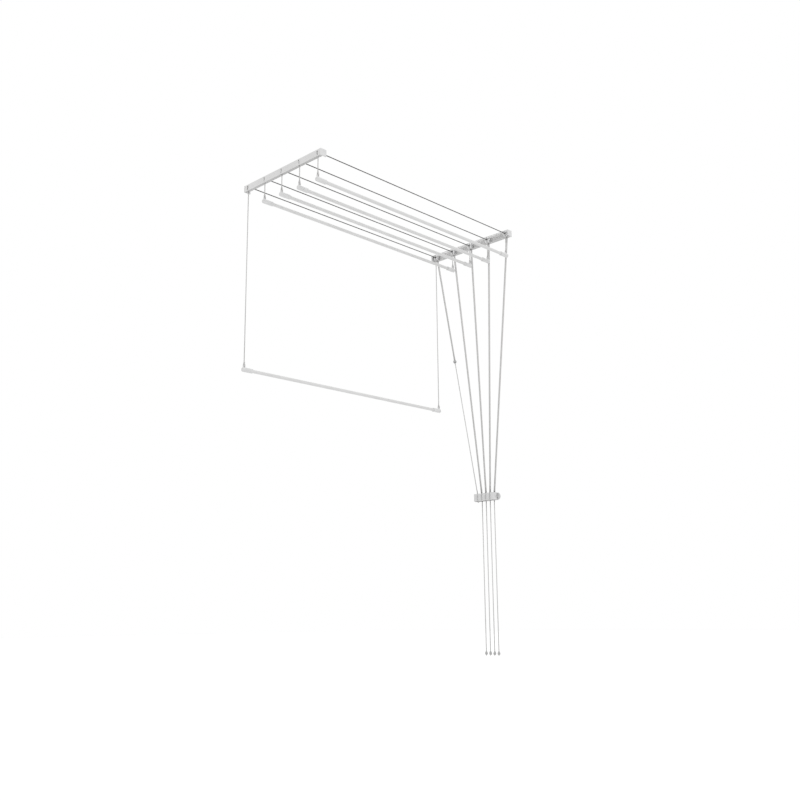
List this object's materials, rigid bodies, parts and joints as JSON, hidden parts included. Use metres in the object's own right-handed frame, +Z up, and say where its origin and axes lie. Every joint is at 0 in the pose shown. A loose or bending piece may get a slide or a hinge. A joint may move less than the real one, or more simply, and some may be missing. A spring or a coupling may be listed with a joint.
{
  "type": "ceiling mounted pulley rack",
  "caption": "Ceiling airer: two screwed rails with pulleys carry drying rods on cords that run to beads in a wall cleat; each rod is raised and lowered alone.",
  "frame": {"origin": "centre of the rectangle of four ceiling screw holes, in the ceiling plane", "axes": "+Z up to the ceiling, +X along the rods towards the rail and wall with the pull cords, +Y along the rails towards the lowered rod"},
  "size_m": [1.221, 0.494, 1.9667],
  "materials": {
    "rail_paint": "satin white powder coat",
    "rod_enamel": "smooth white enamel",
    "white_plastic": "moulded white, fine grain",
    "pulley_plastic": "turned grey nylon",
    "steel_pin": "zinc plated",
    "cleat_plastic": "moulded light grey, fine grain",
    "bead_plastic": "polished grey",
    "cord": "braided synthetic cord"
  },
  "bodies": {
    "root": {"left_rail": "rail_paint", "right_rail": "rail_paint", "rail_end_caps": "white_plastic", "pulley_blocks": "white_plastic", "pulley_axles": "steel_pin", "cord_cleat": "cleat_plastic", "long_cord_1": "cord", "short_cord_1": "cord", "left_drop_cord_1": "cord", "right_drop_cord_1": "cord", "long_cord_2": "cord", "short_cord_2": "cord", "left_drop_cord_2": "cord", "right_drop_cord_2": "cord", "tail_cord_2": "cord", "long_cord_3": "cord", "short_cord_3": "cord", "left_drop_cord_3": "cord", "right_drop_cord_3": "cord", "tail_cord_3": "cord", "long_cord_4": "cord", "short_cord_4": "cord", "left_drop_cord_4": "cord", "right_drop_cord_4": "cord", "tail_cord_4": "cord", "long_cord_5": "cord", "short_cord_5": "cord", "left_drop_cord_5": "cord", "right_drop_cord_5": "cord", "tail_cord_5": "cord"},
    "drying_rod_1": {"rod_1": "rod_enamel", "rod_end_caps_1": "white_plastic"},
    "left_roller_1": {"left_pulley_1": "pulley_plastic"},
    "right_roller_1": {"right_pulley_1": "pulley_plastic"},
    "raised_stop_1": {"stop_bead_1": "bead_plastic"},
    "lowered_stop_1": {"end_bead_1": "bead_plastic"},
    "drying_rod_2": {"rod_2": "rod_enamel", "rod_end_caps_2": "white_plastic"},
    "left_roller_2": {"left_pulley_2": "pulley_plastic"},
    "right_roller_2": {"right_pulley_2": "pulley_plastic"},
    "raised_stop_2": {"stop_bead_2": "bead_plastic"},
    "lowered_stop_2": {"end_bead_2": "bead_plastic"},
    "drying_rod_3": {"rod_3": "rod_enamel", "rod_end_caps_3": "white_plastic"},
    "left_roller_3": {"left_pulley_3": "pulley_plastic"},
    "right_roller_3": {"right_pulley_3": "pulley_plastic"},
    "raised_stop_3": {"stop_bead_3": "bead_plastic"},
    "lowered_stop_3": {"end_bead_3": "bead_plastic"},
    "drying_rod_4": {"rod_4": "rod_enamel", "rod_end_caps_4": "white_plastic"},
    "left_roller_4": {"left_pulley_4": "pulley_plastic"},
    "right_roller_4": {"right_pulley_4": "pulley_plastic"},
    "raised_stop_4": {"stop_bead_4": "bead_plastic"},
    "lowered_stop_4": {"end_bead_4": "bead_plastic"},
    "drying_rod_5": {"rod_5": "rod_enamel", "rod_end_caps_5": "white_plastic"},
    "left_roller_5": {"left_pulley_5": "pulley_plastic"},
    "right_roller_5": {"right_pulley_5": "pulley_plastic"},
    "raised_stop_5": {"stop_bead_5": "bead_plastic"},
    "lowered_stop_5": {"end_bead_5": "bead_plastic"}
  },
  "joints": [
    {"name": "rod_1_lift", "type": "slide", "parent": "root", "child": "drying_rod_1", "axis": [0, 0, 1], "range_m": [0, 0.69], "deforming": ["left_drop_cord_1", "right_drop_cord_1"]},
    {"name": "left_pulley_1_spin", "type": "hinge", "parent": "root", "child": "left_roller_1", "pos_m": [-0.5915, 0.224, -0.0165], "axis": [0, 1, 0], "continuous": true},
    {"name": "right_pulley_1_spin", "type": "hinge", "parent": "root", "child": "right_roller_1", "pos_m": [0.5915, 0.227, -0.0165], "axis": [0, 1, 0], "continuous": true},
    {"name": "stop_bead_1_travel", "type": "slide", "parent": "root", "child": "raised_stop_1", "axis": [0, 0.1803, 0.9836], "range_m": [-0.69, 0]},
    {"name": "end_bead_1_travel", "type": "slide", "parent": "root", "child": "lowered_stop_1", "axis": [0, 0, 1], "range_m": [-0.69, 0]},
    {"name": "rod_2_lift", "type": "slide", "parent": "root", "child": "drying_rod_2", "axis": [0, 0, 1], "range_m": [-0.69, 0], "deforming": ["left_drop_cord_2", "right_drop_cord_2"]},
    {"name": "left_pulley_2_spin", "type": "hinge", "parent": "root", "child": "left_roller_2", "pos_m": [-0.5915, 0.112, -0.0165], "axis": [0, 1, 0], "continuous": true},
    {"name": "right_pulley_2_spin", "type": "hinge", "parent": "root", "child": "right_roller_2", "pos_m": [0.5915, 0.115, -0.0165], "axis": [0, 1, 0], "continuous": true},
    {"name": "stop_bead_2_travel", "type": "slide", "parent": "root", "child": "raised_stop_2", "axis": [0, 0.1109, 0.9938], "range_m": [0, 0.69]},
    {"name": "end_bead_2_travel", "type": "slide", "parent": "root", "child": "lowered_stop_2", "axis": [0, 0, 1], "range_m": [0, 0.69], "deforming": ["tail_cord_2"]},
    {"name": "rod_3_lift", "type": "slide", "parent": "root", "child": "drying_rod_3", "axis": [0, 0, 1], "range_m": [-0.69, 0], "deforming": ["left_drop_cord_3", "right_drop_cord_3"]},
    {"name": "left_pulley_3_spin", "type": "hinge", "parent": "root", "child": "left_roller_3", "pos_m": [-0.5915, 0, -0.0165], "axis": [0, 1, 0], "continuous": true},
    {"name": "right_pulley_3_spin", "type": "hinge", "parent": "root", "child": "right_roller_3", "pos_m": [0.5915, 0.003, -0.0165], "axis": [0, 1, 0], "continuous": true},
    {"name": "stop_bead_3_travel", "type": "slide", "parent": "root", "child": "raised_stop_3", "axis": [0, 0.0399, 0.9992], "range_m": [0, 0.69]},
    {"name": "end_bead_3_travel", "type": "slide", "parent": "root", "child": "lowered_stop_3", "axis": [0, 0, 1], "range_m": [0, 0.69], "deforming": ["tail_cord_3"]},
    {"name": "rod_4_lift", "type": "slide", "parent": "root", "child": "drying_rod_4", "axis": [0, 0, 1], "range_m": [-0.69, 0], "deforming": ["left_drop_cord_4", "right_drop_cord_4"]},
    {"name": "left_pulley_4_spin", "type": "hinge", "parent": "root", "child": "left_roller_4", "pos_m": [-0.5915, -0.112, -0.0165], "axis": [0, 1, 0], "continuous": true},
    {"name": "right_pulley_4_spin", "type": "hinge", "parent": "root", "child": "right_roller_4", "pos_m": [0.5915, -0.109, -0.0165], "axis": [0, 1, 0], "continuous": true},
    {"name": "stop_bead_4_travel", "type": "slide", "parent": "root", "child": "raised_stop_4", "axis": [0, -0.0318, 0.9995], "range_m": [0, 0.69]},
    {"name": "end_bead_4_travel", "type": "slide", "parent": "root", "child": "lowered_stop_4", "axis": [0, 0, 1], "range_m": [0, 0.69], "deforming": ["tail_cord_4"]},
    {"name": "rod_5_lift", "type": "slide", "parent": "root", "child": "drying_rod_5", "axis": [0, 0, 1], "range_m": [-0.69, 0], "deforming": ["left_drop_cord_5", "right_drop_cord_5"]},
    {"name": "left_pulley_5_spin", "type": "hinge", "parent": "root", "child": "left_roller_5", "pos_m": [-0.5915, -0.224, -0.0165], "axis": [0, 1, 0], "continuous": true},
    {"name": "right_pulley_5_spin", "type": "hinge", "parent": "root", "child": "right_roller_5", "pos_m": [0.5915, -0.221, -0.0165], "axis": [0, 1, 0], "continuous": true},
    {"name": "stop_bead_5_travel", "type": "slide", "parent": "root", "child": "raised_stop_5", "axis": [0, -0.1029, 0.9947], "range_m": [0, 0.69]},
    {"name": "end_bead_5_travel", "type": "slide", "parent": "root", "child": "lowered_stop_5", "axis": [0, 0, 1], "range_m": [0, 0.69], "deforming": ["tail_cord_5"]}
  ],
  "couplings": [
    {"joint": "left_pulley_1_spin", "follows": "rod_1_lift", "rad_per_m": 125},
    {"joint": "right_pulley_1_spin", "follows": "rod_1_lift", "rad_per_m": 125},
    {"joint": "stop_bead_1_travel", "follows": "rod_1_lift", "ratio": -1},
    {"joint": "end_bead_1_travel", "follows": "rod_1_lift", "ratio": -1},
    {"joint": "left_pulley_2_spin", "follows": "rod_2_lift", "rad_per_m": 125},
    {"joint": "right_pulley_2_spin", "follows": "rod_2_lift", "rad_per_m": 125},
    {"joint": "stop_bead_2_travel", "follows": "rod_2_lift", "ratio": -1},
    {"joint": "end_bead_2_travel", "follows": "rod_2_lift", "ratio": -1},
    {"joint": "left_pulley_3_spin", "follows": "rod_3_lift", "rad_per_m": 125},
    {"joint": "right_pulley_3_spin", "follows": "rod_3_lift", "rad_per_m": 125},
    {"joint": "stop_bead_3_travel", "follows": "rod_3_lift", "ratio": -1},
    {"joint": "end_bead_3_travel", "follows": "rod_3_lift", "ratio": -1},
    {"joint": "left_pulley_4_spin", "follows": "rod_4_lift", "rad_per_m": 125},
    {"joint": "right_pulley_4_spin", "follows": "rod_4_lift", "rad_per_m": 125},
    {"joint": "stop_bead_4_travel", "follows": "rod_4_lift", "ratio": -1},
    {"joint": "end_bead_4_travel", "follows": "rod_4_lift", "ratio": -1},
    {"joint": "left_pulley_5_spin", "follows": "rod_5_lift", "rad_per_m": 125},
    {"joint": "right_pulley_5_spin", "follows": "rod_5_lift", "rad_per_m": 125},
    {"joint": "stop_bead_5_travel", "follows": "rod_5_lift", "ratio": -1},
    {"joint": "end_bead_5_travel", "follows": "rod_5_lift", "ratio": -1}
  ]
}
